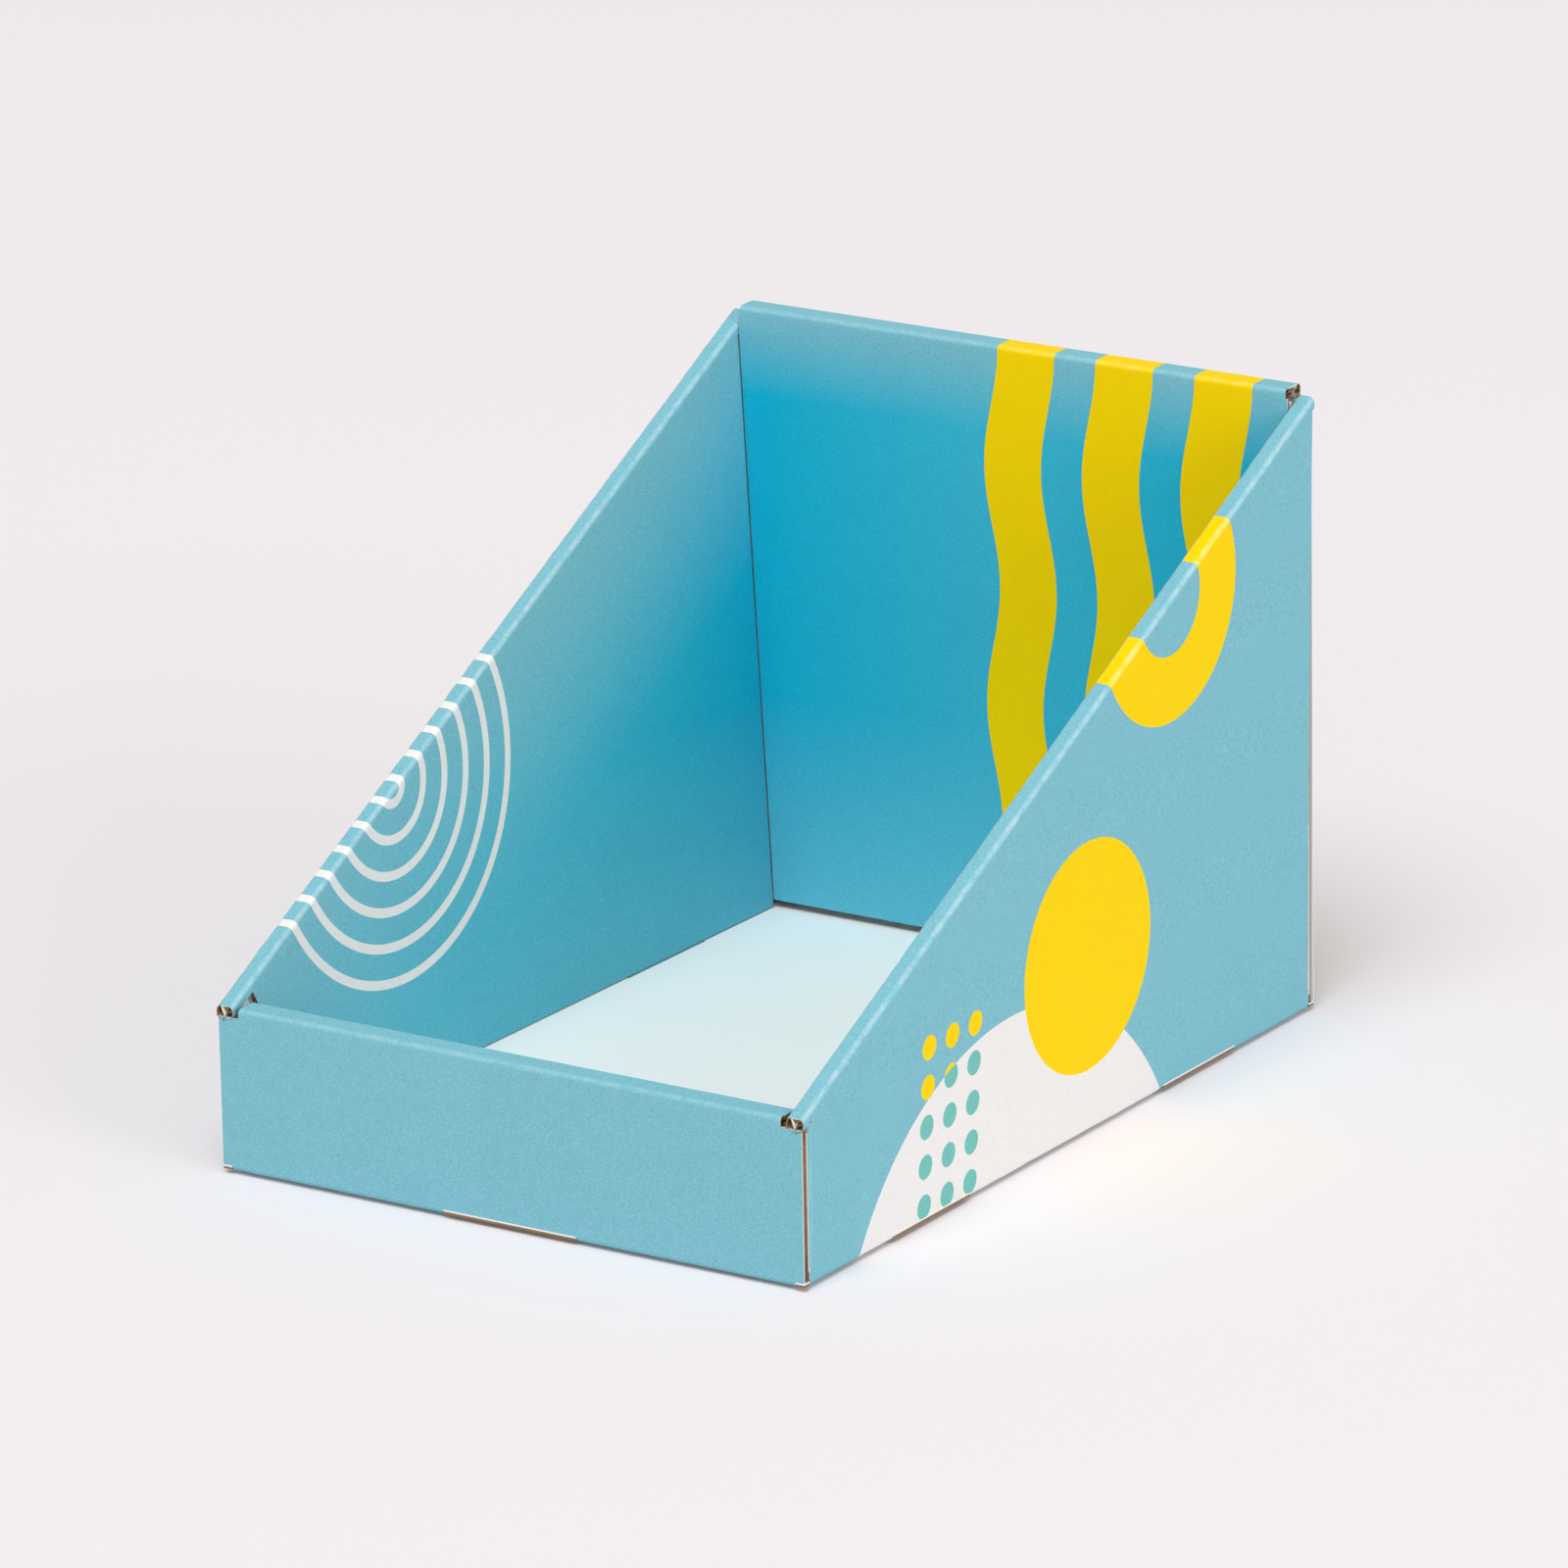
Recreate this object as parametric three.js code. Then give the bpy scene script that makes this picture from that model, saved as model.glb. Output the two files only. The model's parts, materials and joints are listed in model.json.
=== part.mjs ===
// A counter display bin folded from one die-cut sheet of printed corrugated card.
// Every wall is double: an outer panel, a narrow rim strip, and an inner panel that hangs inside
// and locks into the base with tabs. The sides carry dust flaps that sit inside the front and
// back walls. Each panel between two creases is a separate plate.
// Frame: origin at the middle of the underside, X across, Y to the back, Z up, in millimetres.

import * as THREE from 'three';

// Overall sizes
const WIDTH = 220; // across the outer faces of the two sides
const DEPTH = 312; // front face to back face
const FRONT_HEIGHT = 55; // underside to the top of the front rim
const SIDE_REAR_HEIGHT = 210; // underside to the rim at the rear end of a side
const BACK_RISE = 3.5; // the top of the back rim above the rear end of a side

// Leans of the folded board
const SIDE_LEAN = THREE.MathUtils.degToRad(0.8); // the sides splay outwards from the base
const LINING_LEAN = THREE.MathUtils.degToRad(2.3); // a side's inner panel stands off at its foot

// Board
const BOARD = 3; // thickness of the corrugated board
const GAP = 0.3; // clearance between neighbouring plates

// Lock tabs and the slots that take them
const END_TAB_WIDTH = 48; // tab of the front or back inner panel
const SIDE_TAB_LENGTH = 43; // tab of a side inner panel
const SIDE_TAB_INSET = 74; // front or back face to the middle of the nearer side tab
const SLOT_PLAY = 1; // room at each end of a tab in its slot
const END_PLAY = 1.2; // between the ends of a front or back inner panel and the side linings

// Dust flaps
const FRONT_FLAP_LENGTH = 45; // from the side wall towards the middle
const FRONT_FLAP_RELIEF = 21; // top of the flap's root below the front rim
const FRONT_FLAP_TAPER = 20; // fall of the flap's top edge from root to tip
const REAR_FLAP_LENGTH = 50;
const REAR_FLAP_RELIEF = 104; // top of the flap's root below the rear corner of the side
const REAR_FLAP_TAPER = 14;
const FLAP_FOOT_TAPER = 4; // rise of a flap's lower edge from root to tip

// Back wall
const BACK_CORNER_DROP = 4; // slant cut of the top corners
const BACK_FOOT_LIFT = 2.5; // the back inner panel stops this far above the floor

// Planes of the walls, worked out from the sizes above
const outerX = WIDTH / 2;
const outerY = DEPTH / 2;
const step = BOARD + GAP; // one board and its clearance
const sideInnerX = outerX - step; // outer face of a side inner panel
const clearX = sideInnerX - BOARD; // inner face of a side inner panel
const sideEndY = outerY - step; // end of a side outer panel, and outer face of a flap
const endInnerY = sideEndY - step; // outer face of a front or back inner panel
const clearY = endInnerY - BOARD; // inner face of a front or back inner panel
const sideTabY = outerY - SIDE_TAB_INSET; // middle of the depth to the middle of a side tab
const backHeight = SIDE_REAR_HEIGHT + BACK_RISE; // underside to the top of the back rim

// Slope of the side rims: their underside runs up from the underside of the front rim
const rise = SIDE_REAR_HEIGHT - FRONT_HEIGHT;
const run = outerY + sideEndY;
const slope = Math.atan2(rise, run);
const slopeSin = Math.sin(slope);
const slopeCos = Math.cos(slope);
const rimUnderside = (y) => FRONT_HEIGHT - BOARD + (y + outerY) * Math.tan(slope);
const rimTop = (y) => rimUnderside(y) + BOARD / slopeCos;
const sideTop = (y) => rimUnderside(y) - GAP / slopeCos;

// A side's inner panel hangs from the inner edge of its rim and leans away from the outer panel.
// It is drawn upright and a little longer, and then turned about that edge.
const hung = (y, z) => rimTop(y) - (rimTop(y) - z) / Math.cos(LINING_LEAN);
const standOff = (y) => (rimTop(y) - BOARD) * slopeCos * Math.tan(LINING_LEAN);

// Half widths of the front and back inner panels at a height: they narrow towards the foot, so
// that they swing clear of the side linings
function frontHalfWidth(z) {
  const reach = (rimTop(-clearY) - FRONT_HEIGHT) * slopeCos + FRONT_HEIGHT - z;
  return clearX - reach * Math.tan(LINING_LEAN) - END_PLAY;
}

function backHalfWidth(z) {
  const reach = (rimTop(clearY) - z) * slopeCos;
  return clearX + z * Math.tan(SIDE_LEAN) - reach * Math.tan(LINING_LEAN) - END_PLAY;
}

const board = (color) => new THREE.MeshStandardMaterial({ color, roughness: 0.7, metalness: 0 });
const printedBlue = board(0x7fbccb);
const rimBlue = board(0x97d0de);
const innerBlue = board(0x14a3bf);
const whiteLiner = board(0xe6ebe9);

// A plate of board: a flat outline given thickness along the plate's own normal
function plate(name, outline, material, depth = BOARD) {
  const shape = new THREE.Shape(outline.map(([u, v]) => new THREE.Vector2(u, v)));
  const geometry = new THREE.ExtrudeGeometry(shape, { depth, bevelEnabled: false });
  const mesh = new THREE.Mesh(geometry, material);
  mesh.name = name;
  return mesh;
}

// Lies flat: the outline is in X and Y, and the board rises from z
function lying(name, outline, z, material) {
  const mesh = plate(name, outline, material);
  mesh.position.z = z;
  return mesh;
}

// Stands across the bin: the outline is in X and Z, and nearY is the face nearer the front
function across(name, outline, nearY, material) {
  const mesh = plate(name, outline, material);
  mesh.rotation.x = Math.PI / 2;
  mesh.position.y = nearY + BOARD;
  return mesh;
}

// Stands along a side: the outline is in Y and Z, and outwardX is the face away from the middle
function along(name, outline, side, outwardX, material, depth = BOARD) {
  const mesh = plate(name, outline, material, depth);
  const turn = new THREE.Matrix4().makeBasis(
    new THREE.Vector3(0, 1, 0),
    new THREE.Vector3(0, 0, 1),
    new THREE.Vector3(1, 0, 0),
  );
  mesh.quaternion.setFromRotationMatrix(turn);
  mesh.position.x = side > 0 ? outwardX - depth : -outwardX;
  return mesh;
}

const rectangle = (left, right, low, high) => [
  [left, low],
  [right, low],
  [right, high],
  [left, high],
];

// Carries pieces on a hinge line through a point, turned by an angle about it
function turned(point, axis, angle, ...pieces) {
  const carrier = new THREE.Group();
  carrier.position.copy(point).negate();
  carrier.add(...pieces);
  const hinge = new THREE.Group();
  hinge.position.copy(point);
  hinge.quaternion.setFromAxisAngle(axis, angle);
  hinge.add(carrier);
  return hinge;
}

// One notch in the base's outline, walked along an edge, with its inner corners at two depths
function notch(from, to, edge, depth, point) {
  return [
    point(from, edge),
    point(from, edge - depth(from)),
    point(to, edge - depth(to)),
    point(to, edge),
  ];
}

// The floor, with a notch at every lock tab that reaches in as far as the tab's inner face
function basePanel() {
  const endSlot = END_TAB_WIDTH / 2 + SLOT_PLAY;
  const sideSlot = SIDE_TAB_LENGTH / 2 + SLOT_PLAY;
  const front = (x, inset) => [x, -inset];
  const back = (x, inset) => [-x, inset];
  const right = (y, inset) => [inset, y];
  const left = (y, inset) => [-inset, y];
  const endNotch = (point) =>
    notch(-endSlot, endSlot, sideEndY, () => sideEndY - clearY + GAP, point);
  const sideNotches = (point) =>
    [-sideTabY, sideTabY].flatMap((middle) =>
      notch(middle - sideSlot, middle + sideSlot, sideInnerX, (y) => step + standOff(y), point),
    );
  const outline = [
    [-sideInnerX, -sideEndY],
    ...endNotch(front),
    [sideInnerX, -sideEndY],
    ...sideNotches(right),
    [sideInnerX, sideEndY],
    ...endNotch(back),
    [-sideInnerX, sideEndY],
    ...sideNotches(left).reverse(),
  ];
  return lying('base_panel', outline, 0, whiteLiner);
}

// The front or back wall: outer panel, rim strip, inner panel and its lock tab
function endWall(name, facing, height, halfWidth, outerOutline, innerFoot) {
  const wall = new THREE.Group();
  const nearFace = (face) => (facing < 0 ? -face : face - BOARD);
  const rimY = [facing * outerY, facing * clearY].sort((a, b) => a - b);
  const rim = rectangle(-halfWidth(height), halfWidth(height), rimY[0], rimY[1]);
  const innerTop = height - step;
  const inner = [
    [-halfWidth(innerFoot), innerFoot],
    [halfWidth(innerFoot), innerFoot],
    [halfWidth(innerTop), innerTop],
    [-halfWidth(innerTop), innerTop],
  ];
  const tab = rectangle(-END_TAB_WIDTH / 2, END_TAB_WIDTH / 2, GAP, innerFoot - GAP);
  wall.add(
    across(`${name}_outer_panel`, outerOutline, nearFace(outerY), printedBlue),
    lying(`${name}_rim_strip`, rim, height - BOARD, rimBlue),
    across(`${name}_inner_panel`, inner, nearFace(endInnerY), innerBlue),
    across(`${name}_lock_tab`, tab, nearFace(endInnerY), innerBlue),
  );
  return wall;
}

function frontWall() {
  const outline = rectangle(-outerX, outerX, 0, FRONT_HEIGHT - step);
  return endWall('front', -1, FRONT_HEIGHT, frontHalfWidth, outline, step);
}

// The back's outer panel has its top corners cut off, so they clear the ends of the side rims
function backWall() {
  const top = backHeight - step;
  const outline = [
    [-outerX, 0],
    [outerX, 0],
    [outerX, top - BACK_CORNER_DROP],
    [backHalfWidth(top), top],
    [-backHalfWidth(top), top],
    [-outerX, top - BACK_CORNER_DROP],
  ];
  return endWall('back', 1, backHeight, backHalfWidth, outline, step + BACK_FOOT_LIFT);
}

// A dust flap, in X and Z: it starts at the side wall and narrows towards its tip
function flapOutline(side, length, rootTop, taper) {
  const root = side * sideInnerX;
  const tip = side * (sideInnerX - length);
  const outline = [
    [root, step],
    [root, rootTop],
    [tip, rootTop - taper],
    [tip, step + FLAP_FOOT_TAPER],
  ];
  return side > 0 ? outline : outline.reverse();
}

function flaps(name, side) {
  const frontTop = FRONT_HEIGHT - FRONT_FLAP_RELIEF;
  const rearTop = SIDE_REAR_HEIGHT - REAR_FLAP_RELIEF;
  const front = flapOutline(side, FRONT_FLAP_LENGTH, frontTop, FRONT_FLAP_TAPER);
  const rear = flapOutline(side, REAR_FLAP_LENGTH, rearTop, REAR_FLAP_TAPER);
  return [
    across(`${name}_front_flap`, front, -sideEndY, whiteLiner),
    across(`${name}_rear_flap`, rear, sideEndY - BOARD, whiteLiner),
  ];
}

// The inner panel's front end is cut square to the rim, so it clears the front wall as it rolls up
function sideInnerOutline() {
  const rearY = clearY - GAP;
  const startY = -clearY + GAP;
  const startZ = rimTop(startY);
  const reach = (startZ - step) / slopeCos / Math.cos(LINING_LEAN);
  const footY = startY + reach * slopeSin;
  return [
    [footY, hung(footY, step)],
    [rearY, hung(rearY, step)],
    [rearY, sideTop(rearY)],
    [startY + step * slopeSin, startZ - step * slopeCos],
  ];
}

function sideTab(name, side, middle) {
  const front = middle - SIDE_TAB_LENGTH / 2;
  const rear = middle + SIDE_TAB_LENGTH / 2;
  const outline = [
    [front, hung(front, GAP)],
    [rear, hung(rear, GAP)],
    [rear, hung(rear, BOARD)],
    [front, hung(front, BOARD)],
  ];
  return along(name, outline, side, sideInnerX, innerBlue);
}

// What hangs from the inner edge of a side's rim: the inner panel and its two lock tabs
function sideLining(name, side) {
  const edge = new THREE.Vector3(side * clearX, 0, rimTop(0));
  const edgeLine = new THREE.Vector3(0, slopeCos, slopeSin);
  return turned(
    edge,
    edgeLine,
    side * LINING_LEAN,
    along(`${name}_inner_panel`, sideInnerOutline(), side, sideInnerX, innerBlue),
    sideTab(`${name}_front_lock_tab`, side, -sideTabY),
    sideTab(`${name}_rear_lock_tab`, side, sideTabY),
  );
}

// The sloping rim of a side: a strip as wide as the double wall, with upright ends
function sideRim(name, side) {
  const outline = [
    [-outerY, rimUnderside(-outerY)],
    [sideEndY, rimUnderside(sideEndY)],
    [sideEndY, rimTop(sideEndY)],
    [-outerY, rimTop(-outerY)],
  ];
  return along(name, outline, side, outerX, rimBlue, outerX - clearX);
}

// A side wall leans out from its bottom crease: outer panel, sloping rim, lining and dust flaps
function sideWall(name, side) {
  const outer = [
    [-sideEndY, 0],
    [sideEndY, 0],
    [sideEndY, sideTop(sideEndY)],
    [-sideEndY, sideTop(-sideEndY)],
  ];
  return turned(
    new THREE.Vector3(side * outerX, 0, 0),
    new THREE.Vector3(0, 1, 0),
    side * SIDE_LEAN,
    along(`${name}_outer_panel`, outer, side, outerX, printedBlue),
    sideRim(`${name}_rim_strip`, side),
    sideLining(name, side),
    ...flaps(name, side),
  );
}

const bin = new THREE.Group();
bin.add(basePanel(), frontWall(), backWall(), sideWall('left', -1), sideWall('right', 1));

export default bin;
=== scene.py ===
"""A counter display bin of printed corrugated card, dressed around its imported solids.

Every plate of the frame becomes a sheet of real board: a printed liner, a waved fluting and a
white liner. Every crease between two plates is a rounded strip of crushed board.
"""

import json
import math

import bmesh
import bpy
from bpy.props import FloatProperty, FloatVectorProperty, IntProperty, PointerProperty
from mathutils import Matrix, Vector, noise

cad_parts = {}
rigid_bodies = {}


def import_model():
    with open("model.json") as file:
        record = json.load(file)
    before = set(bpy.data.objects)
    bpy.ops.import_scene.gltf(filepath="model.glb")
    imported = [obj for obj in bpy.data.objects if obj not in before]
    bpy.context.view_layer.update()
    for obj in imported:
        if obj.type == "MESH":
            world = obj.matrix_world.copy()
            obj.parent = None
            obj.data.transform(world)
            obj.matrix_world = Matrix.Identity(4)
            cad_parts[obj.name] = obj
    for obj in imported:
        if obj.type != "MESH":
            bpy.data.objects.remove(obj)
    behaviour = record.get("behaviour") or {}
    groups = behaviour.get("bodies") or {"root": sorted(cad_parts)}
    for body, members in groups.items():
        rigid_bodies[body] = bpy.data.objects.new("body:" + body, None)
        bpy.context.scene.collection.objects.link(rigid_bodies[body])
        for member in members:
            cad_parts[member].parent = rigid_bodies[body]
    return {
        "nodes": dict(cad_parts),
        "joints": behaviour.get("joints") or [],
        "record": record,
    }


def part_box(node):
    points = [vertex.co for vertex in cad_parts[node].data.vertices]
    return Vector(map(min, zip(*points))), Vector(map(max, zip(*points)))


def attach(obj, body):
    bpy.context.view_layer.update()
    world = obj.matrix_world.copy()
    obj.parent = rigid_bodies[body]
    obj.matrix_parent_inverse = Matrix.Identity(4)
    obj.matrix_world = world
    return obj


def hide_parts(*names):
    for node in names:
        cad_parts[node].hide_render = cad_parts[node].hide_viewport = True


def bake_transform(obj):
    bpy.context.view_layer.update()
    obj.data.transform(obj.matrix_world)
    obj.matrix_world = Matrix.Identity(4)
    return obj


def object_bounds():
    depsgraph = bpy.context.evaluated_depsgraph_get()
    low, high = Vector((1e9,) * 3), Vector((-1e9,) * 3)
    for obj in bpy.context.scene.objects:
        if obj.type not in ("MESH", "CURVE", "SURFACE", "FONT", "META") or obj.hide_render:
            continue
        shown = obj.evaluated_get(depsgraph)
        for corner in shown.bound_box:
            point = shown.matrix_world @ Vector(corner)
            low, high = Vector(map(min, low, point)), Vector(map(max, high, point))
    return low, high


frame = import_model()
CAD_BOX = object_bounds()

bl_info = {
    "name": "Card Counter Bin",
    "version": (1, 0, 0),
    "blender": (4, 5, 0),
    "location": "View3D > Sidebar > Card Bin",
    "description": "Builds a folded counter bin of printed corrugated card",
    "category": "Object",
}

MM = 0.001
WALLS = ("front", "back", "left", "right")
SIDES = ("left", "right")
PRINT, LINER, KRAFT = range(3)  # material slots of every sheet of board
PLACE = "print_place"  # attribute: where a point of the board lies at rest
WEAR_AND_HIGHLIGHT = "crease_wear_and_highlight"  # attribute: 1 on the bend of a crease, 0 away from it; it whitens the ink as wear and as a painted highlight
SIDE_RIM_WEAR_AND_HIGHLIGHT, END_RIM_WEAR_AND_HIGHLIGHT, FOOT_WEAR_AND_HIGHLIGHT, FLAP_WEAR_AND_HIGHLIGHT = 1.0, 0.4, 0.15, 0.3  # worn ink and painted highlight on each kind of crease, most is 1
FLOOR_CORE = 0.9  # share of the floor that holds fluting
MERGE = 0.001 * MM  # corners closer than this are one
FLAT = math.radians(0.3)  # faces that turn less than this are one
ON_PLANE = 0.0001 * MM  # a cut passes through corners closer than this
LENGTHWISE = 0.1 * MM  # edges that rise more than this run along a crease
PARALLEL = 0.999  # least cosine of an edge that runs along a crease
FACING = 0.9  # least cosine of a face that looks along a line
INWARD = 0.3  # least cosine of a crease's face that looks into the bin
INNER_CUTS = 4  # cuts across an inner face of a crease
FINE_LUMPS = (2.7, 0.5)  # smaller lumps of a crease: how much closer and how much lower
UP = Vector((0, 0, 1))
FLUTE_LINE = Vector((0, 1, 0))  # the flutes' direction in the flat sheet


def ink(red, green, blue):
    """A colour written as screen values of 0 to 255, as the linear colour that shaders use."""

    def linear(value):
        part = value / 255
        return part / 12.92 if part <= 0.04045 else ((part + 0.055) / 1.055) ** 2.4

    return tuple(linear(value) for value in (red, green, blue))


def setting(kind, **fixed):
    """A short way to declare one kind of setting."""

    def declare(name, description, default, **limits):
        return kind(name=name, description=description, default=default, **{**fixed, **limits})

    return declare


length = setting(FloatProperty, unit="LENGTH", subtype="DISTANCE", precision=5)
angle = setting(FloatProperty, unit="ROTATION", subtype="ANGLE")
level = setting(FloatProperty, min=0)
count = setting(IntProperty, min=1)
colour = setting(FloatVectorProperty, size=3, subtype="COLOR", min=0, max=1)
place = setting(FloatVectorProperty, size=3, unit="LENGTH", subtype="XYZ")
pair = setting(FloatVectorProperty, size=2, unit="LENGTH")  # Y and Z


class BoardSettings(bpy.types.PropertyGroup):
    """Sizes of the corrugated board"""

    thickness: length(
        "Board", "Thickness of the board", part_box("base_panel")[1].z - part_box("base_panel")[0].z
    )
    liner: length("Liner", "Thickness of each flat liner", 0.35 * MM)
    flute_pitch: length("Flute pitch", "Distance from one flute to the next", 6.3 * MM)
    flute_paper: length("Flute paper", "Thickness of the waved paper", 0.22 * MM)
    flute_steps: count("Flute steps", "Straight steps in one wave", 10, min=4)
    crease_radius: length("Crease radius", "Outer radius of a folded crease", 1.7 * MM)
    crease_steps: count("Crease steps", "Straight steps round a crease", 8, min=2)
    hold: length("Hold", "Strip that keeps the shading of a crease's edge straight", 0.05 * MM)
    crease_grain: length("Crease grain", "Length of one step along a crease", 2.5 * MM)
    crease_lump: length("Crease lumps", "How far a crease stands in and out", 0.16 * MM)
    flap_lift: length("Flap lift", "Foot of a dust flap above the floor's upper side", 2.4 * MM)
    end_fill: length("End fill", "How far the end linings reach into their play", 0.9 * MM)
    torn_core: length("Torn core", "Bare core at a slot's cut edge", 0.8 * MM)
    torn_liner: length("Torn liner", "Bare liner above the bare core", 0.55 * MM)
    slot_lift: length("Slot lift", "The wall's cut edge above the floor at a slot", 0.3 * MM)


class PrintSettings(bpy.types.PropertyGroup):
    """Inks and papers, and the sizes of the printed figures"""

    ground: colour("Ground", "Pale blue that floods the sheet", ink(129, 192, 206))
    # Painted shade: the linings' ground turns deeper blue below the rim and deepest in the rear
    # corners, and paler near the floor as painted bounce light.
    inner: colour("Inner ground", "Deeper blue of the inner panels", ink(74, 187, 212))
    corner: colour("Corner ground", "Deepest blue, in the rear corners", ink(20, 181, 212))
    bounce_light_height: length("Foot fade", "Height where the inner ground is full again", 80 * MM)
    corner_shade_reach: length("Corner reach", "How far the deepest blue spreads", 125 * MM)
    fade: length("Fade", "Depth below a level rim where the inner ground is full", 30 * MM)
    side_fade: length("Side fade", "The same depth below a sloping rim", 75 * MM)
    yellow: colour("Yellow", "Ink of the disc, the bands and the upper dots", ink(255, 216, 0))
    white: colour("White", "Bare white of the rings and the hill", ink(240, 238, 236))
    teal: colour("Teal", "Ink of the dots on the hill", ink(118, 196, 187))
    liner: colour("Liner", "Bare white liner of the reverse", ink(236, 238, 236))
    kraft: colour("Kraft", "Brown paper of the fluting", ink(150, 120, 88))
    edge: length("Edge", "Softness of a printed edge", 0.16 * MM)
    bleed: length("Bleed", "How far the ground runs under the floor", 7 * MM)
    ring_centre: pair("Rings", "Middle of the white rings, in Y and Z", (-64 * MM, 103 * MM))
    ring_radius: length("First ring", "Radius of the innermost white ring", 5.5 * MM)
    ring_pitch: length("Ring pitch", "From one white ring to the next", 11.8 * MM)
    ring_stroke: length("Ring stroke", "Width of a white ring", 3.2 * MM)
    ring_count: count("Ring count", "Number of white rings", 6)
    stripe_start: length("First stripe", "Middle of the first yellow stripe, in X", 3.9 * MM)
    stripe_pitch: length("Stripe pitch", "From one stripe to the next", 37.8 * MM)
    stripe_width: length("Stripe width", "Width of a yellow stripe", 22 * MM)
    stripe_count: count("Stripes", "Number of stripes", 3)
    stripe_sway: length("Stripe sway", "How far a stripe waves to each side", 2.8 * MM)
    stripe_wave: length("Stripe wave", "Height of one wave of a stripe", 83 * MM)
    hoop_centre: pair("Hoop", "Middle of the yellow hoop, in Y and Z", (62 * MM, 165 * MM))
    hoop_radius: length("Hoop radius", "Radius at the middle of the hoop's band", 29.75 * MM)
    hoop_width: length("Hoop width", "Width of the hoop's band", 22.5 * MM)
    disc_centre: pair("Disc", "Middle of the yellow disc, in Y and Z", (12 * MM, 59.5 * MM))
    disc_radius: length("Disc radius", "Radius of the yellow disc", 38.6 * MM)
    hill_centre: pair("Hill", "Middle of the hill's circle, in Y and Z", (-33.5 * MM, -52 * MM))
    hill_radius: length("Hill radius", "Radius of the hill's circle", 105 * MM)
    dot_start: pair("Dots", "Middle of the lowest front dot, in Y and Z", (-86.5 * MM, 5.2 * MM))
    dot_pitch: pair("Dot pitch", "From dot to dot, in Y and Z", (13.6 * MM, 13 * MM))
    dot_lean: level("Dot lean", "Shift of a dot column in Y for each step in Z", 0.065, min=-1)
    dot_radius: length("Dot radius", "Radius of a dot", 4 * MM)
    dot_columns: count("Dot columns", "Dots in Y", 3)
    dot_rows: count("Dot rows", "Dots in Z", 5)


class StageSettings(bpy.types.PropertyGroup):
    """Camera, floor and light"""

    azimuth: angle("Azimuth", "Turn of the camera round the bin", math.radians(33.127))
    elevation: angle("Elevation", "Height of the camera above the horizon", math.radians(17.709))
    roll: angle("Roll", "Tilt of the camera about its own line of sight", math.radians(-1.053))
    lens: level("Lens", "Focal length in millimetres", 255.32, min=10)
    distance: length("Distance", "From the camera to the point it looks at", 3.58)
    aim: place("Aim", "Point in the middle of the picture", (4.11 * MM, 0, 103.6 * MM))
    backdrop: colour("Backdrop", "Pale floor and backdrop", ink(243, 238, 240))
    floor_size: length("Floor", "Width of the floor", 14.0)
    floor_gap: length("Floor gap", "Drop of the stage floor below the bin", 1.3 * MM)
    world_light: level("Room light", "Even light from all round", 0.36)
    lamp_power: level("Lamp", "Power of the overhead lamp in watts", 1260)
    lamp_size: length("Lamp size", "Width of the overhead lamp", 9.0)
    lamp_spot: place("Lamp spot", "Where the overhead lamp hangs", (1.8, -6.3, 12.0))
    fill_power: level("Fill", "Power of the fill lamp in watts", 165)
    fill_size: length("Fill size", "Width of the fill lamp", 4.5)
    fill_spot: place("Fill spot", "Where the fill lamp stands", (6.9, -1.35, 2.4))
    glow_start: length("Glow start", "Distance from the bin where the floor's glow grows", 0.15)
    glow_end: length("Glow end", "Distance from the bin where the floor's glow is full", 0.7)
    glow_least: level("Least glow", "Share of glow in the floor near the bin", 0.08)
    glow_most: level("Most glow", "Share of glow in the floor far from the bin", 0.6)


def placed(point, *axes):
    """The matrix that brings a shape to a point, with its own axes along the given ones."""
    return Matrix.Translation(point) @ Matrix(axes).transposed().to_4x4()


# Frame: bodies, hinges and the printed side of each plate

BODIES = frame["record"]["behaviour"]["bodies"]
BODY_OF = {node: body for body, nodes in BODIES.items() for node in nodes}


class Hinge:
    """A crease: a line, the bodies on both sides and the angle that opens it"""

    def __init__(self, name, parent, child, point, axis, turn):
        self.name = name
        self.parent = parent
        self.child = child
        self.point = Vector(point)
        self.axis = Vector(axis).normalized()
        self.turn = turn

    def opened(self):
        return Matrix.Rotation(self.turn, 3, self.axis)

    def foot(self, point):
        """The nearest point of the hinge line."""
        return self.point + self.axis * (point - self.point).dot(self.axis)


def hinge_of(joint):
    return Hinge(
        joint["name"],
        joint["parent"],
        joint["child"],
        joint["pos_m"],
        joint["axis"],
        math.radians(joint["range_deg"][1]),
    )


HINGES = {joint["name"]: hinge_of(joint) for joint in frame["joints"]}
HINGE_TO = {hinge.child: hinge for hinge in HINGES.values()}


def laid_flat(body):
    """The turn that lays a body's panel flat with the floor."""
    turn = Matrix.Identity(3)
    while body in HINGE_TO:
        turn = HINGE_TO[body].opened() @ turn
        body = HINGE_TO[body].parent
    return turn


class Sheet:
    """The printed face of a plate: its corners, its normal and the line of its flutes"""

    def __init__(self, corners, normal, flutes):
        self.corners = corners
        self.normal = normal
        self.flutes = flutes

    def middle(self):
        return sum(self.corners, Vector()) / len(self.corners)

    def edges(self):
        return zip(self.corners, self.corners[1:] + self.corners[:1])

    def away_from(self, hinge):
        """The direction in the sheet that leads straight away from a hinge line."""
        middle = self.middle()
        path = middle - hinge.foot(middle)
        return (path - self.normal * path.dot(self.normal)).normalized()


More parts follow.
